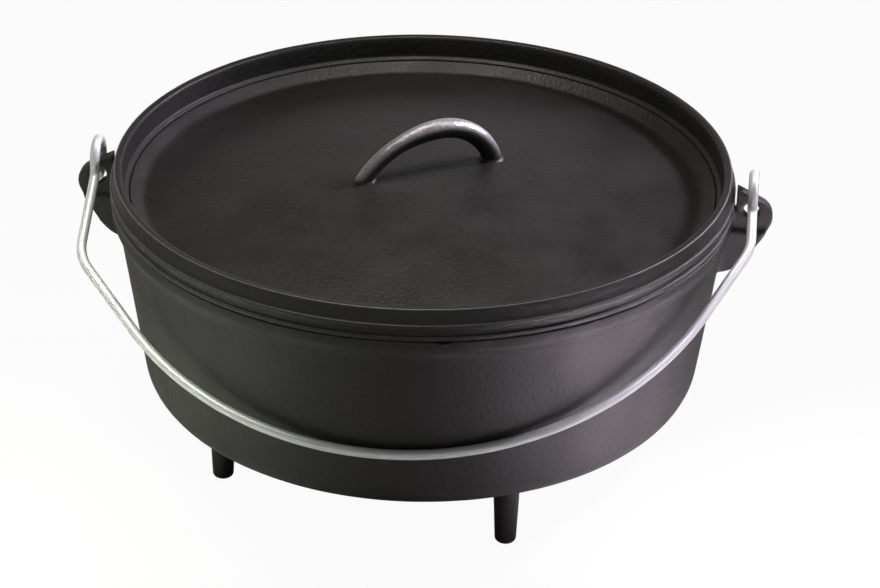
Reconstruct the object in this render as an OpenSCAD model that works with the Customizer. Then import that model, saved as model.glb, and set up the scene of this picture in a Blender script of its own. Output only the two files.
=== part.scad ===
// Camp dutch oven: a cast iron kettle on legs, a flanged lid with a raised lip for coals, and a wire bail.
// Millimetres, +Z up. The origin is on the kettle's axis in the plane of the leg tips.
// X runs through the two ears, and the bail hangs at the front, on the -Y side.

/* [Kettle] */
// Outside radius of the wall just under the rim
wall_r = 160.6; // [140:0.1:180]
// Lean of the wall from the vertical, in degrees
wall_taper = 7.9; // [5:0.1:11]
// Thickness of the wall and of the floor
wall_t = 5.5; // [4.5:0.1:7]
// Height from the outside of the floor to the top of the rim
kettle_h = 107.7; // [90:0.1:140]
// Outside radius of the corner between floor and wall
corner_r = 17; // [12:0.5:24]
// How far the rim band stands out from the wall
rim_out = 2.7; // [1.5:0.1:4]
// Height of the rim band
rim_h = 6.2; // [5:0.1:9]
// Rounding of the rim's upper edges
rim_edge = 1.2; // [0.6:0.1:2]

/* [Legs] */
// Number of legs
leg_count = 4; // [3:1:4]
// Angle from the ear axis to the first leg, in degrees
leg_angle = 28.6; // [20:0.1:45]
// Distance of a leg's axis inside the edge of the flat floor
leg_inset = 17.3; // [14:0.1:40]
// Height of the legs below the floor
leg_h = 42.6; // [25:0.1:60]
// Diameter of a leg at its root
leg_root_d = 14.5; // [12:0.1:18]
// Diameter of a leg at its tip
leg_tip_d = 11.3; // [9:0.1:12]
// Rounding of a leg's tip
leg_tip_round = 2.4; // [1:0.1:4]
// Fillet between a leg and the floor
leg_fillet = 2.5; // [1:0.1:4]

/* [Ears] */
// Thickness of an ear's fin
ear_t = 7; // [5:0.1:9]
// Gap between an ear and the lid's flange
ear_gap = 0.5; // [0.4:0.1:1.5]
// Reach of an ear beyond the rim
ear_reach = 20.4; // [19:0.1:24]
// Height of an ear's inner corner above the rim
ear_rise = 12.2; // [10.5:0.1:15]
// Radius of the rounded nose
ear_nose_r = 10.9; // [10:0.1:13]
// Depth of the nose's centre below the rim
ear_nose_drop = 4.4; // [3:0.1:6]
// Distance of the hole's axis beyond the rim
ear_hole_out = 9; // [8:0.1:9.4]
// Depth of the hole's axis below the rim
ear_hole_drop = 0.4; // [0:0.1:1.5]
// Diameter of the hole
ear_hole_d = 8.2; // [8:0.1:10]

/* [Gussets] */
// Greatest thickness of the gusset under an ear
gusset_t = 11.4; // [9.5:0.1:14]
// Thickness of the gusset where it runs out on the wall
gusset_end_t = 8.4; // [7:0.1:9.4]
// Radius of the gusset's rounded foot
gusset_r = 22; // [19:0.1:25]
// Distance of that round's centre inside the rim
gusset_in = 9.8; // [8:0.1:14]
// Depth of that round's centre below the rim
gusset_drop = 15.8; // [13:0.1:19]
// Depth below the rim at which the ledge starts
ledge_drop = 10.4; // [9.5:0.1:12]
// Height of the sloped ledge
ledge_h = 2.4; // [1.5:0.1:4]

/* [Thermometer notch] */
// Angle from the ear axis to the notch, in degrees
notch_angle = -80.8; // [-100:0.1:-75]
// Width of the notch at the top of the rim
notch_w = 10; // [6:0.1:14]
// Depth of the notch below the top of the rim
notch_depth = 1.9; // [1.5:0.1:3.5]
// Width of the apron below the notch
apron_w = 34; // [26:0.5:44]
// How far the apron hangs below the rim band
apron_h = 4; // [2:0.1:6]

/* [Lid] */
// Gap between the flange and the rim
seat_gap = 0.3; // [0.2:0.05:0.6]
// Height from the underside of the flange to the top of the lip
lid_h = 16.8; // [15.5:0.1:20]
// How far the flange stands out beyond the rim
flange_out = 0.5; // [0:0.1:1]
// Height of the upper bead's middle above the underside of the flange
upper_bead_z = 7.3; // [6.6:0.1:8]
// Radius of the two beads round the flange
bead_r = 1.6; // [1.2:0.1:2]
// How far the groove between the beads and the lip lie inside the beads
bead_out = 0.9; // [0.6:0.1:1.1]
// Thickness of the lip
lip_t = 5.6; // [5:0.1:7]
// Slope of the lip's inner face, as run over its height
lip_draft = 1; // [0.5:0.1:2]
// Depth of the foot of that face below the top of the lip
lip_depth = 9.1; // [8:0.1:9.6]
// Width of the steep bevel below it
bevel_w = 2.2; // [1.6:0.1:3]
// Height of that bevel
bevel_h = 3.4; // [2.6:0.1:3.8]
// Depth of the small groove at the foot of the bevel
groove_depth = 0.5; // [0.3:0.1:0.8]
// Width of the slope between the groove and the plate
slope_w = 7; // [6:0.1:8]
// Depth of the edge of the plate below the top of the lip
tray_depth = 17.6; // [16.5:0.1:18.5]
// Rise of the domed plate from its edge to its middle
plate_rise = 12.4; // [9:0.1:13]
// Thickness of the plate
plate_t = 5.5; // [4.8:0.1:7]
// Gap all round between the spigot under the lid and the mouth of the kettle
spigot_gap = 1.8; // [1:0.1:3]
// Straight height of the spigot below the flange
spigot_h = 1.3; // [0.8:0.1:2]
// Width of the bevel round the foot of the spigot
spigot_bevel = 4.6; // [3:0.1:5.5]

/* [Lid handle] */
// Angle from the ear axis to the handle, in degrees
handle_angle = 29.7; // [0:0.1:180]
// Distance between the middles of the handle's feet
handle_span = 74.5; // [70:0.5:100]
// Distance of the middle between the feet from the lid's axis
handle_shift = 2.5; // [0:0.1:4]
// Distance of the top of the arch from the middle between the feet
handle_skew = 7; // [0:0.1:9]
// Rise of the handle's centreline above the plate
handle_rise = 22.6; // [21:0.1:30]
// Diameter of the handle
handle_d = 10.8; // [9:0.1:12]

/* [Bail] */
// Diameter of the wire
wire_d = 4.8; // [4:0.1:5]
// Radius of the hook's ring, to the middle of the wire
hook_r = 10; // [9.6:0.1:12]
// Radius of the bend between ring and leg
hook_bend_r = 6; // [4.5:0.1:7]
// Angle from the middle of the hole to the hook's tip, in degrees
hook_tip = 19; // [16:1:24]
// Gap between the wire and the lower edge of the hole
hook_gap = 0.4; // [0.3:0.05:0.8]
// How far the hook sits outside the middle of the hole
hook_out = 0.5; // [0:0.1:0.5]
// How far the bow's arc lies outside the flange
bow_out = 9.2; // [7:0.1:14]
// Sideways set of the bow, towards the -X ear
bow_lean = 3; // [0:0.1:4]
// Angle of the +X shoulder to its leg, in degrees
shoulder_a = 27; // [26:0.5:33]
// Angle of the -X shoulder to its leg, in degrees
shoulder_b = 38.5; // [26:0.5:40]
// Radius of the bend between leg and shoulder
shoulder_bend_r = 28; // [18:1:32]
// Gap between the hanging bow and the wall
bail_gap = 0.4; // [0.3:0.05:1]

/* [Hidden] */

// Facets of the large turned shapes, of small rounds, and of an arc inside a profile
turn_fn = 128;
small_fn = 24;
arc_n = 6;
cut = 1;

// A round length that joins a bend is this much thinner than it and runs this far into it
join_slip = 0.06;
join_into = 0.4;
join_trim = 0.1;

// Heights
rim_z = leg_h + kettle_h;
band_z = rim_z - rim_h;
lid_z = rim_z + seat_gap;

// Kettle
rim_r = wall_r + rim_out;
rim_round = 0.85 * rim_out;
corner_z = leg_h + corner_r;
corner_x = wall_r - (corner_r + (band_z - corner_z) * sin(wall_taper)) / cos(wall_taper);
mouth_r = inner_r(rim_z - rim_edge);
leg_pos = corner_x - leg_inset;

// Ears
ear_x = rim_r + flange_out + ear_gap;
ear_top = [ear_x, rim_z + ear_rise];
ear_root_drop = 1.5;
ear_root_in = 3;
nose = [rim_r + ear_reach - ear_nose_r, rim_z - ear_nose_drop];
gusset = [rim_r - gusset_in, rim_z - gusset_drop];
gusset_foot = gusset[1] - gusset_r - cut;
ledge_sink = 0.2;
hole = [rim_r + ear_hole_out, rim_z - ear_hole_drop];

// Lid
flange_r = rim_r + flange_out;
lip_r = flange_r - bead_out;
lip_in = lip_r - lip_t;
lip_round = 0.28 * lip_t;
bevel_z = lid_h - lip_depth;
bevel_r = lip_in - lip_draft;
groove_r = bevel_r - bevel_w;
groove_z = bevel_z - bevel_h;
slope_r = groove_r - 1.6 * groove_depth;
plate_r = slope_r - slope_w;
edge_z = lid_h - tray_depth;
spigot_r = mouth_r - spigot_gap;

// Lid handle
handle_foot_z = plate_top(handle_shift + handle_span / 2);
handle_top = [handle_shift + handle_skew, 0, handle_foot_z + handle_rise];

// Bail
hinge_z = hole[1] - ear_hole_d / 2 + hook_gap + wire_d / 2 + hook_r;
bow_r = flange_r + bow_out;
leg_x = hole[0] + hook_out;
hook_end = sqrt(pow(hook_r + hook_bend_r, 2) - pow(hook_bend_r, 2));
hook_turn = acos(hook_bend_r / (hook_r + hook_bend_r));
wall_at_hinge = wall_r + (hinge_z - band_z) * tan(wall_taper);
bail_rest = wall_taper + acos((wall_at_hinge * cos(wall_taper) + wire_d / 2 + bail_gap) / bow_r);

// Outside radius of the wall at height z
function outer_r(z) = wall_r - (band_z - z) * tan(wall_taper);

// Inside radius of the wall at height z
function inner_r(z) = outer_r(z) - wall_t / cos(wall_taper);

// Height of the plate's upper face above the underside of the flange, at radius r
function plate_top(r) = edge_z + plate_rise * (1 - pow(r / plate_r, 2));

// Points of an arc about c from angle a to angle b
function arc(c, r, a, b, n) = [
  for (i = [0 : n])
    c + r * [cos(a + (b - a) * i / n), sin(a + (b - a) * i / n)]
];

// Point at which a line from p touches the circle about c, on the side s
function touch(p, c, r, s) =
  let (d = norm(c - p), a = atan2(c[1] - p[1], c[0] - p[0]) + s * asin(r / d))
  p + sqrt(d * d - r * r) * [cos(a), sin(a)];

// Outward direction of the line that touches two circles on their right
function outward(a, ra, b, rb) =
  let (d = a - b, t = atan2(d[1], d[0]) - acos((rb - ra) / norm(d)))
  [cos(t), sin(t)];

// Section of the kettle: outside from the middle of the floor up, then the inside back down
module kettle_section() {
  corner = [corner_x, corner_z];
  polygon(concat(
    [[0, leg_h]],
    arc(corner, corner_r, -90, -wall_taper, arc_n * 2),
    [[wall_r, band_z]],
    arc([rim_r - rim_round, band_z + rim_round], rim_round, -90, 0, arc_n),
    arc([rim_r - rim_edge, rim_z - rim_edge], rim_edge, 0, 90, arc_n),
    arc([mouth_r + rim_edge, rim_z - rim_edge], rim_edge, 90, 180, arc_n),
    arc(corner, corner_r - wall_t, -wall_taper, -90, arc_n * 2),
    [[0, leg_h + wall_t]]
  ));
}

// One leg: a tapered round peg with a rounded tip and a fillet at its root
module leg() {
  tip = leg_tip_d / 2;
  root = leg_root_d / 2;
  rotate_extrude($fn = small_fn * 2)
    polygon(concat(
      [[0, 0]],
      arc([tip - leg_tip_round, leg_tip_round], leg_tip_round, -90, 0, arc_n),
      arc([root + leg_fillet, leg_h - leg_fillet], leg_fillet, 180, 90, arc_n),
      [[root + leg_fillet, leg_h + wall_t / 2], [0, leg_h + wall_t / 2]]
    ));
}

// Outline of an ear with its gusset, in the plane of the ear axis
module ear_outline() {
  out = outward(nose, ear_nose_r, gusset, gusset_r);
  polygon([
    ear_top,
    touch(ear_top, nose, ear_nose_r, 1),
    nose,
    nose + ear_nose_r * out,
    gusset + gusset_r * out,
    gusset + [wall_t / 2, 0],
    [rim_r - ear_root_in, rim_z - ear_root_drop],
    [ear_x, rim_z - ear_root_drop]
  ]);
  difference() {
    translate(nose)
      circle(r = ear_nose_r, $fn = turn_fn);
    translate([ear_x - 2 * ear_nose_r, rim_z - ear_root_drop])
      square(2 * ear_nose_r);
  }
  intersection() {
    translate(gusset)
      circle(r = gusset_r, $fn = turn_fn);
    polygon([
      [outer_r(gusset_foot) - wall_t / 2, gusset_foot],
      [rim_r + ear_reach, gusset_foot],
      [rim_r + ear_reach, rim_z - ear_root_drop],
      [outer_r(band_z) - wall_t / 2, rim_z - ear_root_drop]
    ]);
  }
}

// Width of the gusset by height: the sloped ledge first, then a slow taper to the wall
module gusset_widths() {
  top = rim_z - ledge_drop;
  sunk = ear_t / 2 - ledge_sink;
  sunk_z = top + ledge_sink * ledge_h / (gusset_t - ear_t);
  polygon([
    [-sunk, sunk_z],
    [sunk, sunk_z],
    [gusset_t / 2, top - ledge_h],
    [gusset_end_t / 2, gusset_foot],
    [-gusset_end_t / 2, gusset_foot],
    [-gusset_t / 2, top - ledge_h]
  ]);
}

// One ear on the +X side: a thin pierced fin over a wider gusset
module ear() {
  difference() {
    union() {
      rotate([90, 0, 0])
        linear_extrude(height = ear_t, center = true)
          ear_outline();
      intersection() {
        rotate([90, 0, 0])
          linear_extrude(height = gusset_t + 2 * cut, center = true)
            ear_outline();
        translate([rim_r - ear_reach, 0, 0])
          rotate([90, 0, 90])
            linear_extrude(height = 2 * ear_reach + cut)
              gusset_widths();
      }
    }
    translate([hole[0], 0, hole[1]])
      rotate([90, 0, 0])
        cylinder(d = ear_hole_d, h = ear_t + 2 * cut, center = true, $fn = small_fn * 2);
  }
}

// Apron below the notch: the rim band carried down in a shallow bow
module apron() {
  bow = (apron_w * apron_w / 4 + apron_h * apron_h) / (2 * apron_h);
  spread = 2 * asin(apron_w / 2 / wall_r) + 2;
  foot_z = band_z - apron_h - cut;
  intersection() {
    rotate([0, 0, -spread / 2])
      rotate_extrude(angle = spread, $fn = turn_fn)
        polygon([
          [wall_r - wall_t / 2, rim_z - rim_h / 2],
          [rim_r - rim_round / 4, rim_z - rim_h / 2],
          [rim_r - rim_round / 4, band_z],
          [outer_r(foot_z), foot_z],
          [outer_r(foot_z) - wall_t / 2, foot_z]
        ]);
    translate([wall_r - 2 * wall_t, 0, band_z - apron_h + bow])
      rotate([0, 90, 0])
        cylinder(r = bow, h = 4 * wall_t, $fn = turn_fn);
  }
}

// Groove across the top of the rim that lets a thermometer probe in under the lid
module notch() {
  bow = (notch_w * notch_w / 4 + notch_depth * notch_depth) / (2 * notch_depth);
  translate([mouth_r - wall_t, 0, rim_z - notch_depth + bow])
    rotate([0, 90, 0])
      cylinder(r = bow, h = rim_r - mouth_r + 2 * wall_t, $fn = small_fn * 2);
}

// Kettle: pot, rim, legs, ears and notch in one casting
module kettle() {
  color([0.13, 0.13, 0.13])
    difference() {
      union() {
        rotate_extrude($fn = turn_fn)
          kettle_section();
        for (i = [0 : leg_count - 1])
          rotate([0, 0, leg_angle + i * 360 / leg_count])
            translate([leg_pos, 0, 0])
              leg();
        for (turn = [0, 180])
          rotate([0, 0, turn])
            ear();
        rotate([0, 0, notch_angle])
          apron();
      }
      rotate([0, 0, notch_angle])
        notch();
    }
}

// Section of the lid: underside, spigot, beads, lip, bevel, groove, slope and domed plate
module lid_section() {
  neck_r = lip_r - 0.1;
  polygon(concat(
    [for (i = [0 : arc_n * 2]) let (r = plate_r * i / (arc_n * 2)) [r, plate_top(r) - plate_t]],
    [
      [spigot_r - spigot_bevel, edge_z - plate_t],
      [spigot_r, -spigot_h],
      [spigot_r, 0]
    ],
    arc([flange_r - bead_r, bead_r], bead_r, -90, 55, arc_n),
    [[neck_r, bead_r * 2.1], [neck_r, upper_bead_z - bead_r * 1.1]],
    arc([flange_r - bead_r, upper_bead_z], bead_r, -55, 55, arc_n),
    [[lip_r, upper_bead_z + bead_r * 1.1]],
    arc([lip_r - lip_round, lid_h - lip_round], lip_round, 0, 90, arc_n),
    arc([lip_in + lip_round, lid_h - lip_round], lip_round, 90, 180, arc_n),
    [
      [bevel_r, bevel_z],
      [groove_r, groove_z],
      [groove_r - 0.6 * groove_depth, groove_z - 1.7 * groove_depth],
      [slope_r, groove_z - groove_depth]
    ],
    [for (i = [0 : arc_n * 2]) let (r = plate_r * (1 - i / (arc_n * 2))) [r, plate_top(r)]]
  ));
}

// One arm of the lid handle: an arc from the top of the arch down to a foot at the given reach
module handle_arm(reach, slip, into) {
  arm_r = (reach * reach + handle_rise * handle_rise) / (2 * handle_rise);
  root = handle_rise + plate_t / 2;
  intersection() {
    translate([0, 0, -arm_r])
      rotate([90, 0, 0])
        rotate_extrude($fn = turn_fn)
          translate([arm_r, 0])
            circle(d = handle_d - slip, $fn = small_fn);
    translate([-into, -handle_d, -root])
      cube([2 * reach, 2 * handle_d, root + handle_d]);
  }
}

// Lid handle: a round arch that grows out of the plate, steeper on one side than on the other
module lid_handle() {
  translate(handle_top) {
    handle_arm(handle_span / 2 - handle_skew, 0, 0);
    mirror([1, 0, 0])
      handle_arm(handle_span / 2 + handle_skew, join_slip, join_into);
  }
}

// Lid: plate, lip, flange, spigot and handle in one casting
module lid() {
  color([0.15, 0.145, 0.14])
    translate([0, 0, lid_z]) {
      rotate_extrude($fn = turn_fn)
        lid_section();
      rotate([0, 0, handle_angle])
        lid_handle();
    }
}

// Wire bent to an arc of radius r in the XY plane, from angle a over the given sweep
module wire_arc(r, a, sweep) {
  rotate([0, 0, a])
    rotate_extrude(angle = sweep, $fn = turn_fn)
      translate([r, 0])
        circle(d = wire_d, $fn = small_fn);
}

// Straight wire along X that runs on into the bends at its two ends
module wire_run(length, into_first, into_last) {
  translate([-into_first, 0, 0])
    rotate([0, 90, 0])
      cylinder(d = wire_d - join_slip, h = into_first + length + into_last, $fn = small_fn);
}

// Ring hook in the XY plane: the ring round the hinge axis, and the bend that leads to the leg along -X
module hook() {
  turn = 90 + hook_turn;
  start = -90 - hook_tip - bail_rest;
  ring_trim = asin(join_trim / hook_r);
  bend_trim = asin(join_trim / hook_bend_r);
  wire_arc(hook_r, start, turn - start - ring_trim);
  translate(hook_r * [cos(turn), sin(turn)])
    rotate([0, 0, turn + 90])
      wire_run(0, join_into, join_into);
  translate([-hook_end, hook_bend_r])
    wire_arc(hook_bend_r, -90, hook_turn - bend_trim);
}

// One side of the bail: hook, leg, bend and straight shoulder up to the end of the bow
module bail_side(angle, shift) {
  bow_end = [shift + bow_r * cos(angle), -bow_r * sin(angle)];
  run = (leg_x - bow_end[0] - shoulder_bend_r * (1 - cos(angle))) / sin(angle);
  bend_y = bow_end[1] + run * cos(angle) + shoulder_bend_r * sin(angle);
  translate([leg_x, 0, 0])
    rotate([90, 0, 90])
      hook();
  translate([leg_x, bend_y])
    rotate([0, 0, 90])
      wire_run(-hook_end - bend_y, join_into, join_into);
  translate([leg_x - shoulder_bend_r, bend_y])
    wire_arc(shoulder_bend_r, -angle, angle);
  translate(bow_end)
    rotate([0, 0, 90 - angle])
      wire_run(run, join_into, join_into);
}

// Bail: one wire with a ring hook at each end, hanging against the front of the wall
module bail() {
  color([0.76, 0.77, 0.79])
    translate([0, 0, hinge_z])
      rotate([bail_rest, 0, 0]) {
        translate([-bow_lean, 0])
          wire_arc(bow_r, 180 + shoulder_b, 180 - shoulder_a - shoulder_b);
        bail_side(shoulder_a, -bow_lean);
        mirror([1, 0, 0])
          bail_side(shoulder_b, bow_lean);
      }
}

kettle();
lid();
bail();
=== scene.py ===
import math

import bmesh
import bpy
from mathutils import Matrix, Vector, noise


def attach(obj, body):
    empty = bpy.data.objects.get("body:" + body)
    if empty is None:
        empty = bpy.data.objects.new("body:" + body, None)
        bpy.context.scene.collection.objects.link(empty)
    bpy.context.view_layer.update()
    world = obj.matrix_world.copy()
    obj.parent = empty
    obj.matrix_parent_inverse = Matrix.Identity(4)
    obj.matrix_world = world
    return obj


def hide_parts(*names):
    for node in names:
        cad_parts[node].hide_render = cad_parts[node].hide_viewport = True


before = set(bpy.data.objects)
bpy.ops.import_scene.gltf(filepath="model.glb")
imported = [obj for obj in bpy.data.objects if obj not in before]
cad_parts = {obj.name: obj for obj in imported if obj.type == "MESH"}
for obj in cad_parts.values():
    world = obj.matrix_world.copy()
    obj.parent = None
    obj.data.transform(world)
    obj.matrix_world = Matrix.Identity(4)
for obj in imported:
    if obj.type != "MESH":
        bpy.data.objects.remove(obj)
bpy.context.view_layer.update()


# Kettle. One grey iron sand casting: a round pot with a drafted wall, a rim band with a shallow notch for a
# thermometer probe, round legs cast on the floor, and two pierced ears on thick gussets that carry the bail.
# It is shot clean, oiled and baked, so the whole surface is a satin black skin over sand grain.
MM = 0.001
WALL_R, WALL_T, WALL_TAPER = 160.6, 5.5, math.radians(7.9)
LEG_H, KETTLE_H, CORNER_R = 42.6, 107.7, 17.0
RIM_OUT, RIM_H, RIM_EDGE = 2.7, 6.2, 1.2
RIM_Z = LEG_H + KETTLE_H
BAND_Z = RIM_Z - RIM_H
RIM_R = WALL_R + RIM_OUT
RIM_ROUND = 0.85 * RIM_OUT
FILLET_H, FILLET_FOOT, FILLET_STEPS = 7.0, 0.05, 10
NOTCH_ANGLE, NOTCH_W, NOTCH_DEPTH = math.radians(-80.8), 10.0, 1.1
NOTCH_SPAN, NOTCH_STEP, NOTCH_CUTS = 0.14, 0.0055, 25
APRON_W, APRON_H, APRON_INSET, APRON_OVER, APRON_EDGE = 34.0, 4.0, 0.4, 1.5, 2.2
SAND_SOFT, ON_BODY, SINK = 0.6, 0.08, 0.5
EDGE_DULL, EDGE_SHARP, KETTLE_WEAR_AND_HIGHLIGHT = 0.1, 0.35, 0.15
UNEVEN, WIDE_SWELL, FINE_SWELL = 0.16, 31.0, 11.0


def between(start, end, steps):
    """Values in even steps from just after the start to the end."""
    return [start + (end - start) * i / steps for i in range(1, steps + 1)]


def soft_step(value, low, high):
    """0 up to low, 1 from high on, and a soft step between them."""
    t = min(1.0, max(0.0, (value - low) / (high - low)))
    return t * t * (3 - 2 * t)


def full_turn(count):
    """Evenly spaced angles all round."""
    return [math.tau * i / count for i in range(count)]


def arc(x, z, r, start, end, steps):
    """Points of an arc in a turned section, from one angle in degrees to another."""
    turns = [math.radians(a) for a in [start, *between(start, end, steps)]]
    return [(x + r * math.cos(t), z + r * math.sin(t)) for t in turns]


def even(points, longest):
    """The same section with its long straight stretches cut up, so that they can be made uneven."""
    out = [points[0]]
    for (r0, z0), (r1, z1) in zip(points, points[1:]):
        n = max(1, math.ceil(math.hypot(r1 - r0, z1 - z0) / longest))
        out += [(r0 + (r1 - r0) * i / n, z0 + (z1 - z0) * i / n) for i in range(1, n + 1)]
    return out


def turned(points, angles, centre=(0.0, 0.0), shape=None):
    """Turns a section about a vertical line. A point on that line becomes a single vertex."""
    bm = bmesh.new()
    rings = []
    for r, z in points:
        if r < 1e-6:
            rings.append([bm.verts.new((centre[0] * MM, centre[1] * MM, z * MM))])
            continue
        ring = []
        for a in angles:
            rr, zz = shape(r, z, a) if shape else (r, z)
            x, y = centre[0] + rr * math.cos(a), centre[1] + rr * math.sin(a)
            ring.append(bm.verts.new((x * MM, y * MM, zz * MM)))
        rings.append(ring)
    for low, high in zip(rings, rings[1:]):
        n = max(len(low), len(high))
        for i in range(n):
            j = (i + 1) % n
            if len(low) == 1:
                bm.faces.new((low[0], high[j], high[i]))
            elif len(high) == 1:
                bm.faces.new((low[i], low[j], high[0]))
            else:
                bm.faces.new((low[i], low[j], high[j], high[i]))
    bmesh.ops.recalc_face_normals(bm, faces=bm.faces)
    return bm


def cast_detail(node, low, high, rounds, outside, sunk):
    """The stretch of a casting inside a box, softened as sand softens corners. What lies on the turned
    body is taken off again, and the edge that is left is sunk into that body."""
    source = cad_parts[node].data.copy()
    bm = bmesh.new()
    bm.from_mesh(source)
    bmesh.ops.remove_doubles(bm, verts=bm.verts, dist=1e-6)
    bm.to_mesh(source)
    bm.free()
    block = bpy.data.meshes.new("block")
    bm = bmesh.new()
    bmesh.ops.create_cube(bm, size=1.0)
    for v in bm.verts:
        v.co = Vector([(l + h) / 2 * MM + c * (h - l) * MM for l, h, c in zip(low, high, v.co)])
    bm.to_mesh(block)
    bm.free()
    cutter = bpy.data.objects.new("block", block)
    piece = bpy.data.objects.new("piece", source)
    for o in (cutter, piece):
        bpy.context.collection.objects.link(o)
    boolean = piece.modifiers.new("cut", "BOOLEAN")
    boolean.operation, boolean.solver, boolean.object = "INTERSECT", "EXACT", cutter
    remesh = piece.modifiers.new("sand", "REMESH")
    remesh.mode, remesh.voxel_size, remesh.adaptivity = "VOXEL", SAND_SOFT * MM, 0.0
    graph = bpy.context.evaluated_depsgraph_get()
    mesh = bpy.data.meshes.new_from_object(piece.evaluated_get(graph))
    for o in (piece, cutter):
        bpy.data.objects.remove(o)
    bm = bmesh.new()
    bm.from_mesh(mesh)
    for _ in range(rounds):
        bmesh.ops.smooth_vert(
            bm, verts=bm.verts, factor=0.5, use_axis_x=True, use_axis_y=True, use_axis_z=True
        )
    depth = {v: outside(v.co / MM) for v in bm.verts}
    hidden = [f for f in bm.faces if max(depth[v] for v in f.verts) < ON_BODY]
    bmesh.ops.delete(bm, geom=hidden, context="FACES")
    edge = [v for v in bm.verts if v.is_boundary]
    for v in edge:
        v.co = sunk(v.co / MM) * MM
    bmesh.ops.holes_fill(bm, edges=[e for e in bm.edges if e.is_boundary], sides=0)
    bmesh.ops.recalc_face_normals(bm, faces=bm.faces)
    return bm


def casting(name, parts, wear_and_highlight_rule):
    """Joins the parts of one casting, makes its skin slightly uneven along each vertex's own normal, and
    stores a mask that draws sharp edges and the places that hands touch paler: rubbed wear and painted
    highlight."""
    whole = bmesh.new()
    for bm in parts:
        part = bpy.data.meshes.new("part")
        bm.to_mesh(part)
        bm.free()
        whole.from_mesh(part)
        bpy.data.meshes.remove(part)
    whole.normal_update()
    wear_and_highlight_per_vertex = []
    for v in whole.verts:
        ways = [(e.other_vert(v).co - v.co) / MM for e in v.link_edges]
        bend = sum(-2 * v.normal.dot(w) / w.length_squared for w in ways) / len(ways)
        wear_and_highlight_per_vertex.append(wear_and_highlight_rule(v.co / MM, v.normal, soft_step(bend, EDGE_DULL, EDGE_SHARP)))
    for v in whole.verts:
        p = v.co / MM
        swell = noise.noise(p / WIDE_SWELL) * 0.6 + noise.noise(p / FINE_SWELL + Vector((7, 3, 5))) * 0.4
        v.co += v.normal * min(0.0, swell - 0.5) * UNEVEN * MM
    mesh = bpy.data.meshes.new(name)
    whole.to_mesh(mesh)
    whole.free()
    # This mask is partly wear and partly painted highlight: the material draws these places paler and more
    # metallic.
    wear_and_highlight = mesh.attributes.new("wear_and_highlight", "FLOAT", "POINT")
    for i, value in enumerate(wear_and_highlight_per_vertex):
        wear_and_highlight.data[i].value = value
    mesh.shade_smooth()
    obj = bpy.data.objects.new(name, mesh)
    bpy.context.collection.objects.link(obj)
    return obj


def linear(code):
    """Linear colour of an sRGB hex value."""
    parts = [int(code[i : i + 2], 16) / 255 for i in (1, 3, 5)]
    return [c / 12.92 if c <= 0.04045 else ((c + 0.055) / 1.055) ** 2.4 for c in parts] + [1.0]


def add(tree, kind, inputs=None, **settings):
    """Adds a node to a tree: settings are its own properties, inputs are values or sockets to link."""
    node = tree.nodes.new(kind)
    for key, value in settings.items():
        setattr(node, key, value)
    for key, value in (inputs or {}).items():
        if isinstance(value, bpy.types.NodeSocket):
            tree.links.new(value, node.inputs[key])
        else:
            node.inputs[key].default_value = value
    return node


def outer_r(z):
    """Radius of the drafted wall's outside at a height."""
    return WALL_R - (BAND_Z - z) * math.tan(WALL_TAPER)


corner_z = LEG_H + CORNER_R
corner_x = WALL_R - (CORNER_R + (BAND_Z - corner_z) * math.sin(WALL_TAPER)) / math.cos(WALL_TAPER)
mouth_r = outer_r(RIM_Z - RIM_EDGE) - WALL_T / math.cos(WALL_TAPER)
fillet_z = BAND_Z - FILLET_H
fillet = [(t, fillet_z + (FILLET_H + RIM_ROUND) * t) for t in between(0.0, 1.0, FILLET_STEPS)]
taper = math.degrees(WALL_TAPER)
kettle_section = even(
    [(0.0, LEG_H)]
    + arc(corner_x, corner_z, CORNER_R, -90, -taper, 16)
    + [(outer_r(fillet_z) + FILLET_FOOT, fillet_z)]
    + [(outer_r(z) + (RIM_R - outer_r(z)) * soft_step(t, 0.0, 1.0), z) for t, z in fillet]
    + arc(RIM_R - RIM_EDGE, RIM_Z - RIM_EDGE, RIM_EDGE, 0, 90, 6)
    + arc(mouth_r + RIM_EDGE, RIM_Z - RIM_EDGE, RIM_EDGE, 90, 180, 6)
    + arc(corner_x, corner_z, CORNER_R - WALL_T, -taper, -90, 12)
    + [(0.0, LEG_H + WALL_T)],
    longest=5.0,
)


def from_notch(a):
    """Angle from the middle of the notch, at most half a turn to either side."""
    return (a - NOTCH_ANGLE + math.pi) % math.tau - math.pi


def notched(r, z, a):
    """Presses the notch into the top of the rim, and carries the rim band down below it in a bow."""
    across = 2 * from_notch(a) * RIM_R
    if z > RIM_Z - RIM_EDGE - 0.01:
        z -= NOTCH_DEPTH * max(0.0, 1 - (across / NOTCH_W) ** 2)
    bow = APRON_H * max(0.0, 1 - (across / APRON_W) ** 2)
    drop = BAND_Z + RIM_ROUND - z
    if bow > 0 and drop > 0 and r > mouth_r + WALL_T / 2:
        reach = soft_step(bow + APRON_OVER - drop, 0.0, APRON_EDGE)
        r += max(0.0, RIM_R - APRON_INSET - r) * reach
    return r, z


kettle_turns = [a for a in full_turn(200) if abs(from_notch(a)) > NOTCH_SPAN]
kettle_turns += [NOTCH_ANGLE % math.tau + NOTCH_STEP * i for i in range(-NOTCH_CUTS, NOTCH_CUTS + 1)]
pot = turned(kettle_section, sorted(kettle_turns), shape=notched)

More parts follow.
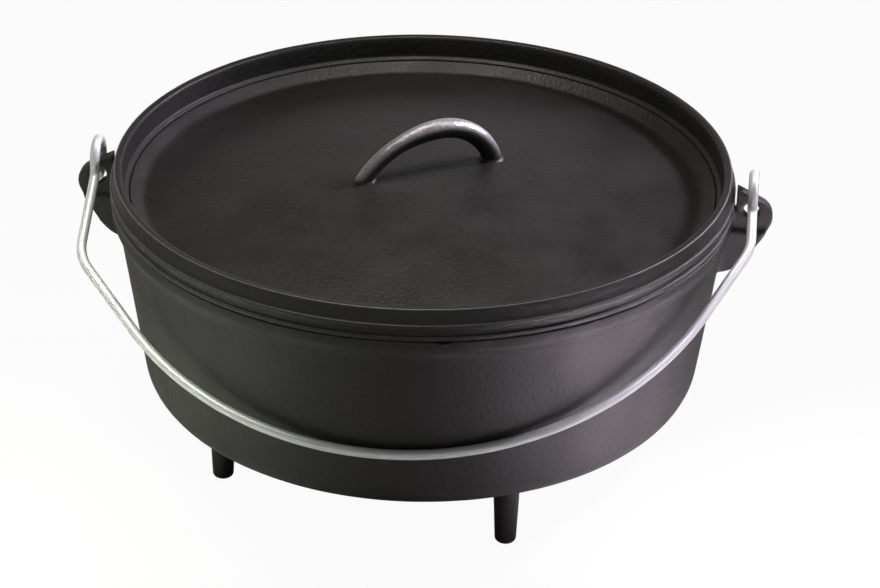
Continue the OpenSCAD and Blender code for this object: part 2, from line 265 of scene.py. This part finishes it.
LEG_AT, LEG_ANGLE, LEG_COUNT, LEG_BURIED = corner_x - 17.3, math.radians(28.6), 4, 1.5
LEG_ROOT_R, LEG_TIP_R, LEG_TIP_ROUND, LEG_FILLET = 7.25, 5.65, 2.4, 2.5
leg_section = even(
    [(0.0, 0.0)]
    + arc(LEG_TIP_R - LEG_TIP_ROUND, LEG_TIP_ROUND, LEG_TIP_ROUND, -90, 0, 6)
    + arc(LEG_ROOT_R + LEG_FILLET, LEG_H - LEG_FILLET, LEG_FILLET, 180, 90, 6)
    + [(LEG_ROOT_R + LEG_FILLET, LEG_H + LEG_BURIED), (0.0, LEG_H + LEG_BURIED)],
    longest=3.0,
)
legs = []
for a in full_turn(LEG_COUNT):
    leg_x, leg_y = LEG_AT * math.cos(LEG_ANGLE + a), LEG_AT * math.sin(LEG_ANGLE + a)
    legs.append(turned(leg_section, full_turn(40), centre=(leg_x, leg_y)))

EAR_IN, EAR_OUT, EAR_SIDE, EAR_LOW, EAR_HIGH = 146.0, 190.0, 24.0, 84.0, 170.0
RIM_SLACK = 0.3


def off_kettle(p):
    """How far a point in millimetres stands outside the turned pot."""
    r = math.hypot(p.x, p.y)
    if p.z < RIM_Z:
        return r - (RIM_R if p.z > BAND_Z else outer_r(p.z))
    return p.z - RIM_Z if r < RIM_R + RIM_SLACK else r - RIM_R


def into_kettle(p):
    """Sinks a point in millimetres below the pot's outside."""
    r = math.hypot(p.x, p.y)
    wanted = min(r, (RIM_R if p.z > BAND_Z else outer_r(p.z)) - SINK)
    return Vector((p.x * wanted / r, p.y * wanted / r, min(p.z, RIM_Z - SINK)))


def kettle_wear_and_highlight(p, n, edge):
    """Wear and painted highlight of the kettle: its sharp edges a little paler, partly wear where it is
    knocked and wiped, partly painted highlight.
    """
    return KETTLE_WEAR_AND_HIGHLIGHT * edge


ears = []
for side in (-1, 1):
    low, high = sorted((side * EAR_IN, side * EAR_OUT))
    ear_box = (low, -EAR_SIDE, EAR_LOW), (high, EAR_SIDE, EAR_HIGH)
    ears.append(cast_detail("kettle", *ear_box, 5, off_kettle, into_kettle))
kettle = casting("kettle_casting", [pot, *legs, *ears], kettle_wear_and_highlight)

# Seasoned sand-cast iron. Baked oil over grey iron: a nearly black, faintly brown dielectric skin with a
# satin sheen, pebbled by the sand, cloudy where the oil baked thicker, and paler and more metallic on edges
# and the handle's top, which is partly rubbed wear and partly painted highlight.
# Moulding sand is finer than this grain, which is drawn coarse enough to show in the render.
GRAIN_W, PEBBLE_W, CLOUD_W = 1.5 * MM, 2.2 * MM, 34 * MM
iron = bpy.data.materials.new("seasoned_sand_cast_iron")
iron.use_nodes = True
tree = iron.node_tree
tree.nodes.clear()
where = add(tree, "ShaderNodeTexCoord").outputs["Object"]
grain = add(
    tree,
    "ShaderNodeTexNoise",
    {"Vector": where, "Scale": 1 / GRAIN_W, "Detail": 4.0, "Roughness": 0.62},
)
pebbles = add(
    tree,
    "ShaderNodeTexVoronoi",
    {"Vector": where, "Scale": 1 / PEBBLE_W, "Smoothness": 0.7},
    feature="SMOOTH_F1",
)
clouds = add(
    tree,
    "ShaderNodeTexNoise",
    {"Vector": where, "Scale": 1 / CLOUD_W, "Detail": 5.0, "Roughness": 0.6},
)
wear_and_highlight_map = add(tree, "ShaderNodeAttribute", attribute_name="wear_and_highlight")
tint = add(
    tree,
    "ShaderNodeMix",
    {"Factor": clouds.outputs["Fac"], 6: linear("#0d0c0b"), 7: linear("#1d1b18")},
    data_type="RGBA",
)
speck = add(
    tree,
    "ShaderNodeMapRange",
    {"Value": grain.outputs["Fac"], "From Min": 0.35, "From Max": 0.65, "To Min": 0.55, "To Max": 0.95},
)
# Painted highlight mixed with wear: where the mask is set, the colour turns pale grey and partly metallic.
pale_wear_and_highlight = add(
    tree,
    "ShaderNodeMath",
    {0: wear_and_highlight_map.outputs["Fac"], 1: speck.outputs["Result"]},
    operation="MULTIPLY",
)
colour = add(
    tree,
    "ShaderNodeMix",
    {"Factor": pale_wear_and_highlight.outputs[0], 6: tint.outputs[2], 7: linear("#a5a2a3")},
    data_type="RGBA",
)
bare_wear_and_highlight = add(tree, "ShaderNodeMath", {0: pale_wear_and_highlight.outputs[0], 1: 0.72}, operation="MULTIPLY")
dull = add(
    tree,
    "ShaderNodeMapRange",
    {"Value": clouds.outputs["Fac"], "From Min": 0.3, "From Max": 0.7, "To Min": 0.47, "To Max": 0.6},
    name="dullness",
)
gloss = add(
    tree,
    "ShaderNodeMath",
    {0: wear_and_highlight_map.outputs["Fac"], 1: -0.04, 2: dull.outputs["Result"]},
    operation="MULTIPLY_ADD",
)
height = add(
    tree,
    "ShaderNodeMath",
    {0: pebbles.outputs["Distance"], 1: 0.6, 2: grain.outputs["Fac"]},
    operation="MULTIPLY_ADD",
)
bump = add(tree, "ShaderNodeBump", {"Height": height.outputs[0], "Strength": 0.6, "Distance": 0.4 * MM})
skin = add(
    tree,
    "ShaderNodeBsdfPrincipled",
    {
        "Base Color": colour.outputs[2],
        "Roughness": gloss.outputs[0],
        "Normal": bump.outputs["Normal"],
        "Metallic": bare_wear_and_highlight.outputs[0],
        "IOR": 1.5,
        "Specular IOR Level": 0.37,
    },
)
add(tree, "ShaderNodeOutputMaterial", {"Surface": skin.outputs["BSDF"]})
kettle.data.materials.append(iron)
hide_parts("kettle")
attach(kettle, "kettle")


# Lid. The second sand casting: a domed plate inside a slope, a groove and a raised lip that keeps coals on
# it, two beads round the flange, a spigot that drops into the mouth, and a round arched handle on the plate.
# It lies loose on the rim and was seasoned together with the kettle; the top of its handle is drawn paler,
# partly rubbed by hands and partly painted highlight.
LID_Z = RIM_Z + 0.3
LID_H, FLANGE_R = 16.8, RIM_R + 0.5
BEAD_R, BEAD_STEP, LOWER_BEAD_H, UPPER_BEAD_Z = 1.6, 0.2, 2.7, 7.3
LIP_R, LIP_T, LIP_DRAFT, LIP_LEAN, LIP_DEPTH = FLANGE_R - 0.9, 5.6, 1.0, 1.4, 9.1
BEVEL_W, BEVEL_H, LEDGE_W, LEDGE_H, GROOVE = 2.2, 3.4, 2.0, 1.3, 0.8
SLOPE_W, EDGE_Z = 7.0, LID_H - 17.6
PLATE_RISE, PLATE_T, PLATE_STEPS = 12.4, 5.5, 24
SPIGOT_R, SPIGOT_H, SPIGOT_BEVEL = mouth_r - 1.8, 1.3, 4.6
lip_in = LIP_R - LIP_T
neck_r = LIP_R - BEAD_STEP
bevel_r, bevel_z = lip_in - LIP_DRAFT, LID_H - LIP_DEPTH
groove_r, groove_z = bevel_r - BEVEL_W, bevel_z - BEVEL_H
slope_r = groove_r - GROOVE
plate_r = slope_r - SLOPE_W


def plate_top(r):
    """Height of the domed plate's top over the lid's seat."""
    return EDGE_Z + PLATE_RISE * (1 - (r / plate_r) ** 2)


def eased(corners):
    """A section through corners (r, z, ease), each rounded off over that distance to both sides."""
    out = []
    for (r0, z0, _), (r1, z1, ease), (r2, z2, _) in zip(corners, corners[1:], corners[2:]):
        here = Vector((r1, z1))
        back, on = Vector((r0, z0)) - here, Vector((r2, z2)) - here
        a = here + back * min(0.5, ease / back.length)
        b = here + on * min(0.5, ease / on.length)
        for t in (0.0, 0.25, 0.5, 0.75, 1.0):
            p = a * (1 - t) ** 2 + here * 2 * t * (1 - t) + b * t * t
            out.append((p.x, p.y))
    return out


plate_line = [plate_r * i / PLATE_STEPS for i in range(PLATE_STEPS + 1)]
lid_section = even(
    [(r, plate_top(r) - PLATE_T) for r in plate_line]
    + [(SPIGOT_R - SPIGOT_BEVEL, EDGE_Z - PLATE_T), (SPIGOT_R, -SPIGOT_H), (SPIGOT_R, 0.0)]
    + eased(
        [
            (SPIGOT_R, 0.0, 0),
            (FLANGE_R, 0.0, 1.3),
            (FLANGE_R, LOWER_BEAD_H, 0.55),
            (neck_r, LOWER_BEAD_H + BEAD_STEP, 0.35),
            (neck_r, UPPER_BEAD_Z - BEAD_R, 0.4),
            (FLANGE_R, UPPER_BEAD_Z - BEAD_R / 2, 1.2),
            (FLANGE_R, UPPER_BEAD_Z + BEAD_R, 0.55),
            (neck_r, UPPER_BEAD_Z + BEAD_R + BEAD_STEP, 0.35),
            (LIP_R - LIP_LEAN, LID_H, 0.8),
            (lip_in, LID_H, 2.0),
            (bevel_r, bevel_z, 0.8),
            (groove_r + LEDGE_W, groove_z + LEDGE_H, 0.5),
            (groove_r, groove_z, 0.25),
            (groove_r - 0.3 * GROOVE, groove_z - 1.7 * GROOVE, 0.2),
            (slope_r, groove_z - 0.6 * GROOVE, 0.3),
            (plate_r, EDGE_Z, 2.0),
            (plate_line[-2], plate_top(plate_line[-2]), 0),
        ]
    )
    + [(r, plate_top(r)) for r in plate_line[-2::-1]],
    longest=4.0,
)
plate = turned([(r, z + LID_Z) for r, z in lid_section], full_turn(224))


def off_lid(p):
    """How far a point in millimetres stands above the plate."""
    return p.z - LID_Z - plate_top(math.hypot(p.x, p.y))


def into_lid(p):
    """Sinks a point in millimetres below the plate's top."""
    return Vector((p.x, p.y, min(p.z, LID_Z + plate_top(math.hypot(p.x, p.y)) - SINK)))


HANDLE_SKEW, HANDLE_REACH, HANDLE_FOOT = math.radians(29.7), 60.0, 0.1
HANDLE_BOX = (-46, -34, 157.5), (50, 38, 195)
HANDLE_TOP_U, HANDLE_TOP_Z = 9.5, 183.9
LONG_ARM_R, LONG_ARM_SLIM, LONG_ARM_TAPER = 54.6, 0.2, 28.0
LIP_WEAR_AND_HIGHLIGHT, LIP_WEAR_AND_HIGHLIGHT_W = 0.45, 2.6
handle = cast_detail("lid", *HANDLE_BOX, 6, off_lid, into_lid)
# The long arm of the arch is thinner than its top: it is drawn in toward the arch's middle line.
along = Vector((math.cos(HANDLE_SKEW), math.sin(HANDLE_SKEW), 0.0))
hub = along * HANDLE_TOP_U + Vector((0, 0, HANDLE_TOP_Z - LONG_ARM_R))
for v in handle.verts:
    p = v.co / MM
    u = p.dot(along)
    slim = soft_step(HANDLE_TOP_U - u, 0.0, LONG_ARM_TAPER)
    if slim > 0:
        spoke = along * (u - HANDLE_TOP_U) + Vector((0, 0, p.z - hub.z))
        middle = hub + spoke.normalized() * LONG_ARM_R
        drawn = middle + (p - middle) * (1 - LONG_ARM_SLIM * slim)
        v.co = (into_lid(drawn) if off_lid(p) < HANDLE_FOOT else drawn) * MM


def lid_wear_and_highlight(p, n, edge):
    """Wear and painted highlight of the lid: the top of the handle's round bar and the up-facing edges of
    lip and beads are drawn paler, partly as rubbed wear and partly as painted highlight.
    """
    r = math.hypot(p.x, p.y)
    # Only edges that face up, and only the handle's upper side, are drawn paler: painted highlight where the
    # light falls, besides the wear.
    if r > LIP_R - LIP_WEAR_AND_HIGHLIGHT_W:
        return LIP_WEAR_AND_HIGHLIGHT * edge * max(0.0, n.z)
    if r > HANDLE_REACH:
        return 0.0
    above_foot = min(1.0, max(0.0, (off_lid(p) - 1.0) / 3))
    return above_foot * soft_step(n.z, 0.1, 0.7)


lid = casting("lid_casting", [plate, handle], lid_wear_and_highlight)
# Wiped sand-cast iron. The same skin, a little smoother, because the lid is wiped with oil after every use.
wiped_iron = iron.copy()
wiped_iron.name = "wiped_sand_cast_iron"
wiped_iron.node_tree.nodes["dullness"].inputs["To Min"].default_value = 0.36
wiped_iron.node_tree.nodes["dullness"].inputs["To Max"].default_value = 0.5
lid.data.materials.append(wiped_iron)
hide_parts("lid")
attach(lid, "lid")


# Bail. One length of drawn steel wire, bright zinc plated, bent cold: a wide bow with two straight
# shoulders, and at each end a ring that passes through the hole of its ear, so the bail swings over the lid
# and hangs in front. The wire is shown 0.15 mm larger in radius than its solid, as the photograph has it.
WIRE_R, WIRE_SHOWN_R, WIRE_SIDES = 2.4, 2.55, 28
HOOK_R, HOOK_BEND_R, HOOK_TIP = 10.0, 6.0, math.radians(19)
HINGE_Z, LEG_X = 158.6, RIM_R + 9.5
BOW_R, BOW_LEAN, SHOULDER_BEND_R = FLANGE_R + 9.2, 3.0, 28.0
SHOULDERS = {1: math.radians(27), -1: math.radians(38.5)}
HANG_GAP = 0.4
wall_there = (WALL_R + (HINGE_Z - BAND_Z) * math.tan(WALL_TAPER)) * math.cos(WALL_TAPER)
REST = WALL_TAPER + math.acos((wall_there + WIRE_R + HANG_GAP) / BOW_R)


def bail_side(side):
    """Middle line of one side, from the hook's tip to the end of the bow, with the bail lying flat."""
    turn = math.pi / 2 + math.acos(HOOK_BEND_R / (HOOK_R + HOOK_BEND_R))
    start = -math.pi / 2 - HOOK_TIP - REST
    reach = math.sqrt((HOOK_R + HOOK_BEND_R) ** 2 - HOOK_BEND_R**2)
    angle = SHOULDERS[side]
    end_x, end_y = -side * BOW_LEAN + BOW_R * math.cos(angle), -BOW_R * math.sin(angle)
    run = (LEG_X - end_x - SHOULDER_BEND_R * (1 - math.cos(angle))) / math.sin(angle)
    bend_x = LEG_X - SHOULDER_BEND_R
    bend_y = end_y + run * math.cos(angle) + SHOULDER_BEND_R * math.sin(angle)
    line = [(LEG_X, HOOK_R * math.cos(t), HOOK_R * math.sin(t)) for t in [start, *between(start, turn, 72)]]
    for t in between(turn + math.pi, 1.5 * math.pi, 16):
        line.append((LEG_X, -reach + HOOK_BEND_R * math.cos(t), HOOK_BEND_R + HOOK_BEND_R * math.sin(t)))
    line += [(LEG_X, y, 0.0) for y in between(-reach, bend_y, 5)]
    for t in between(0.0, -angle, 12):
        line.append((bend_x + SHOULDER_BEND_R * math.cos(t), bend_y + SHOULDER_BEND_R * math.sin(t), 0.0))
    for s in between(run, 0.0, 6):
        line.append((end_x + s * math.sin(angle), end_y + s * math.cos(angle), 0.0))
    return [(side * x, y, z) for x, y, z in line]


bow_turns = between(-SHOULDERS[1], SHOULDERS[-1] - math.pi, 96)[:-1]
bow = [(-BOW_LEAN + BOW_R * math.cos(t), BOW_R * math.sin(t), 0.0) for t in bow_turns]
flat_line = bail_side(1) + bow + bail_side(-1)[::-1]
route = bpy.data.meshes.new("bail_line")
bm = bmesh.new()
last = None
for x, y, z in flat_line:
    hung_y = y * math.cos(REST) - z * math.sin(REST)
    hung_z = HINGE_Z + y * math.sin(REST) + z * math.cos(REST)
    v = bm.verts.new((x * MM, hung_y * MM, hung_z * MM))
    if last:
        bm.edges.new((last, v))
    last = v
bm.to_mesh(route)
bm.free()

# Bright zinc plate on drawn wire. A white metal under its own pale, dry bloom: about a third of it shines
# like metal and the rest scatters like chalk, with fine grain from drawing the wire through the die.
# The grain is drawn coarser than the real one, so that it can show in the render.
BLOOM_W, DRAWN_W = 9 * MM, 0.9 * MM
zinc = bpy.data.materials.new("bright_zinc_plated_wire")
zinc.use_nodes = True
tree = zinc.node_tree
tree.nodes.clear()
where = add(tree, "ShaderNodeTexCoord").outputs["Object"]
bloom = add(tree, "ShaderNodeTexNoise", {"Vector": where, "Scale": 1 / BLOOM_W, "Detail": 3.0})
sparkle = add(tree, "ShaderNodeTexNoise", {"Vector": where, "Scale": 1 / DRAWN_W, "Detail": 2.0})
white = add(
    tree,
    "ShaderNodeMix",
    {"Factor": bloom.outputs["Fac"], 6: linear("#d4d7d8"), 7: linear("#ebedec")},
    data_type="RGBA",
)
sheen = add(
    tree,
    "ShaderNodeMapRange",
    {"Value": bloom.outputs["Fac"], "From Min": 0.3, "From Max": 0.7, "To Min": 0.36, "To Max": 0.44},
)
ripple = add(
    tree,
    "ShaderNodeBump",
    {"Height": sparkle.outputs["Fac"], "Strength": 0.1, "Distance": 0.03 * MM},
)
plated = add(
    tree,
    "ShaderNodeBsdfPrincipled",
    {
        "Base Color": white.outputs[2],
        "Metallic": 0.3,
        "Roughness": sheen.outputs["Result"],
        "Normal": ripple.outputs["Normal"],
    },
)
add(tree, "ShaderNodeOutputMaterial", {"Surface": plated.outputs["BSDF"]})

wire = bpy.data.node_groups.new("wire_along_line", "GeometryNodeTree")
for name, way, kind in (
    ("Geometry", "INPUT", "NodeSocketGeometry"),
    ("Wire radius", "INPUT", "NodeSocketFloat"),
    ("Sides", "INPUT", "NodeSocketInt"),
    ("Plate", "INPUT", "NodeSocketMaterial"),
    ("Geometry", "OUTPUT", "NodeSocketGeometry"),
):
    wire.interface.new_socket(name, in_out=way, socket_type=kind)
given = add(wire, "NodeGroupInput")
line = add(wire, "GeometryNodeMeshToCurve", {"Mesh": given.outputs["Geometry"]})
section = add(
    wire,
    "GeometryNodeCurvePrimitiveCircle",
    {"Resolution": given.outputs["Sides"], "Radius": given.outputs["Wire radius"]},
)
tube = add(
    wire,
    "GeometryNodeCurveToMesh",
    {"Curve": line.outputs["Curve"], "Profile Curve": section.outputs["Curve"], "Fill Caps": True},
)
smooth = add(wire, "GeometryNodeSetShadeSmooth", {"Geometry": tube.outputs["Mesh"]})
coated = add(
    wire,
    "GeometryNodeSetMaterial",
    {"Geometry": smooth.outputs["Geometry"], "Material": given.outputs["Plate"]},
)
add(wire, "NodeGroupOutput", {"Geometry": coated.outputs["Geometry"]})
former = bpy.data.objects.new("bail_former", route)
bpy.context.collection.objects.link(former)
draw = former.modifiers.new("wire", "NODES")
draw.node_group = wire
settings = {"Wire radius": WIRE_SHOWN_R * MM, "Sides": WIRE_SIDES, "Plate": zinc}
for item in wire.interface.items_tree:
    if item.name in settings:
        draw[item.identifier] = settings[item.name]
graph = bpy.context.evaluated_depsgraph_get()
bail_mesh = bpy.data.meshes.new_from_object(former.evaluated_get(graph))
bpy.data.objects.remove(former)
bail = bpy.data.objects.new("bail_wire", bail_mesh)
bpy.context.collection.objects.link(bail)
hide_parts("bail")
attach(bail, "bail")


# Studio. A white paper sweep that the camera sees as plain white with the oven's soft shadow on it. A soft
# box on each side lights the paper that the wall mirrors, the right one stronger, a long one hangs overhead
# behind the oven, and a small one stands behind it on the right.
FLOOR_HALF = 6.0
PAPER_WHITE = 0.95
floor_mesh = bpy.data.meshes.new("floor")
bm = bmesh.new()
bmesh.ops.create_grid(bm, x_segments=1, y_segments=1, size=FLOOR_HALF)
bm.to_mesh(floor_mesh)
bm.free()
floor = bpy.data.objects.new("floor", floor_mesh)
bpy.context.collection.objects.link(floor)
# White paper. Matte and even, and plain white to the camera apart from the shadow. What shines mirrors it as
# grey near the oven and as white farther off.
paper = bpy.data.materials.new("white_paper_sweep")
paper.use_nodes = True
tree = paper.node_tree
tree.nodes.clear()
matte = add(tree, "ShaderNodeBsdfDiffuse", {"Color": linear("#c4c4c4")})
glow = add(tree, "ShaderNodeEmission", {"Color": (1, 1, 1, 1), "Strength": 1.0})
path = add(tree, "ShaderNodeLightPath")
spot = add(tree, "ShaderNodeTexCoord")
far = add(tree, "ShaderNodeVectorMath", {0: spot.outputs["Object"]}, operation="LENGTH")
open_floor = add(
    tree,
    "ShaderNodeMapRange",
    {"Value": far.outputs["Value"], "From Min": 0.9, "From Max": 2.4, "To Min": 0.0, "To Max": 0.9},
)
mirrored = add(
    tree,
    "ShaderNodeMath",
    {0: path.outputs["Is Glossy Ray"], 1: open_floor.outputs["Result"]},
    operation="MULTIPLY",
)
share = add(
    tree,
    "ShaderNodeMath",
    {0: path.outputs["Is Camera Ray"], 1: PAPER_WHITE, 2: mirrored.outputs[0]},
    operation="MULTIPLY_ADD",
)
both = add(tree, "ShaderNodeMixShader", {0: share.outputs[0], 1: matte.outputs[0], 2: glow.outputs[0]})
add(tree, "ShaderNodeOutputMaterial", {"Surface": both.outputs[0]})
floor.data.materials.append(paper)

# Room. Dim, a little lighter to the sides, with the white of the sweep low down for what shines.
world = bpy.data.worlds.new("studio")
bpy.context.scene.world = world
world.use_nodes = True
tree = world.node_tree
tree.nodes.clear()
path = add(tree, "ShaderNodeLightPath")
toward = add(tree, "ShaderNodeSeparateXYZ", {0: add(tree, "ShaderNodeTexCoord").outputs["Generated"]})
sideways = add(tree, "ShaderNodeMath", {0: toward.outputs["X"]}, operation="ABSOLUTE")
room = add(
    tree,
    "ShaderNodeMapRange",
    {"Value": sideways.outputs[0], "From Min": 0.3, "From Max": 0.9, "To Min": 0.1, "To Max": 0.2},
)
low = add(
    tree,
    "ShaderNodeMapRange",
    {"Value": toward.outputs["Z"], "From Min": 0.1, "From Max": 0.32, "To Min": 1.0, "To Max": 0.0},
)
sweep = add(
    tree,
    "ShaderNodeMath",
    {0: path.outputs["Is Glossy Ray"], 1: low.outputs["Result"], 2: path.outputs["Is Camera Ray"]},
    operation="MULTIPLY_ADD",
)
level = add(tree, "ShaderNodeMix", {"Factor": sweep.outputs[0], 2: room.outputs["Result"], 3: 1.0})
sky = add(tree, "ShaderNodeBackground", {"Color": (1, 1, 1, 1), "Strength": level.outputs[0]})
add(tree, "ShaderNodeOutputWorld", {"Surface": sky.outputs[0]})

# Each lamp: place, aim and size in metres, spread in degrees, power in watts, colour.
for name, place, aim, size, spread, power, tone in (
    ("right_box", (0.48, -0.27, 0.6), (0.29, -0.165, 0.0), (0.16, 0.16), 28, 2.4, "#fff0ff"),
    ("left_box", (-0.42, -0.24, 0.6), (-0.27, -0.19, 0.0), (0.2, 0.2), 36, 0.68, "#f8ffe8"),
    ("top_box", (-0.1, 0.1, 1.3), (0.0, 0.02, 0.15), (0.8, 0.36), 150, 6.0, "#fff9f2"),
    ("edge_box", (0.85, 0.4, 0.75), (0.04, 0, 0.18), (0.2, 0.2), 20, 0.48, "#f4eeff"),
):
    lamp = bpy.data.lights.new(name, "AREA")
    lamp.shape, lamp.size, lamp.size_y, lamp.energy = "RECTANGLE", size[0], size[1], power
    lamp.spread, lamp.color = math.radians(spread), linear(tone)[:3]
    obj = bpy.data.objects.new(name, lamp)
    obj.location = place
    obj.rotation_euler = (Vector(aim) - Vector(place)).to_track_quat("-Z", "Y").to_euler()
    bpy.context.collection.objects.link(obj)

# Camera. Its place, turn and lens are fitted to the oven's outline in the photograph.
lens = bpy.data.cameras.new("camera")
lens.sensor_width, lens.lens = 36.0, 130.868
camera = bpy.data.objects.new("camera", lens)
camera.location = (0.14661, -1.4952, 0.91096)
camera.rotation_euler = [math.radians(a) for a in (61.274, -0.7071, 5.6171)]
bpy.context.collection.objects.link(camera)
bpy.context.scene.camera = camera
bpy.context.scene.view_settings.view_transform = "Standard"
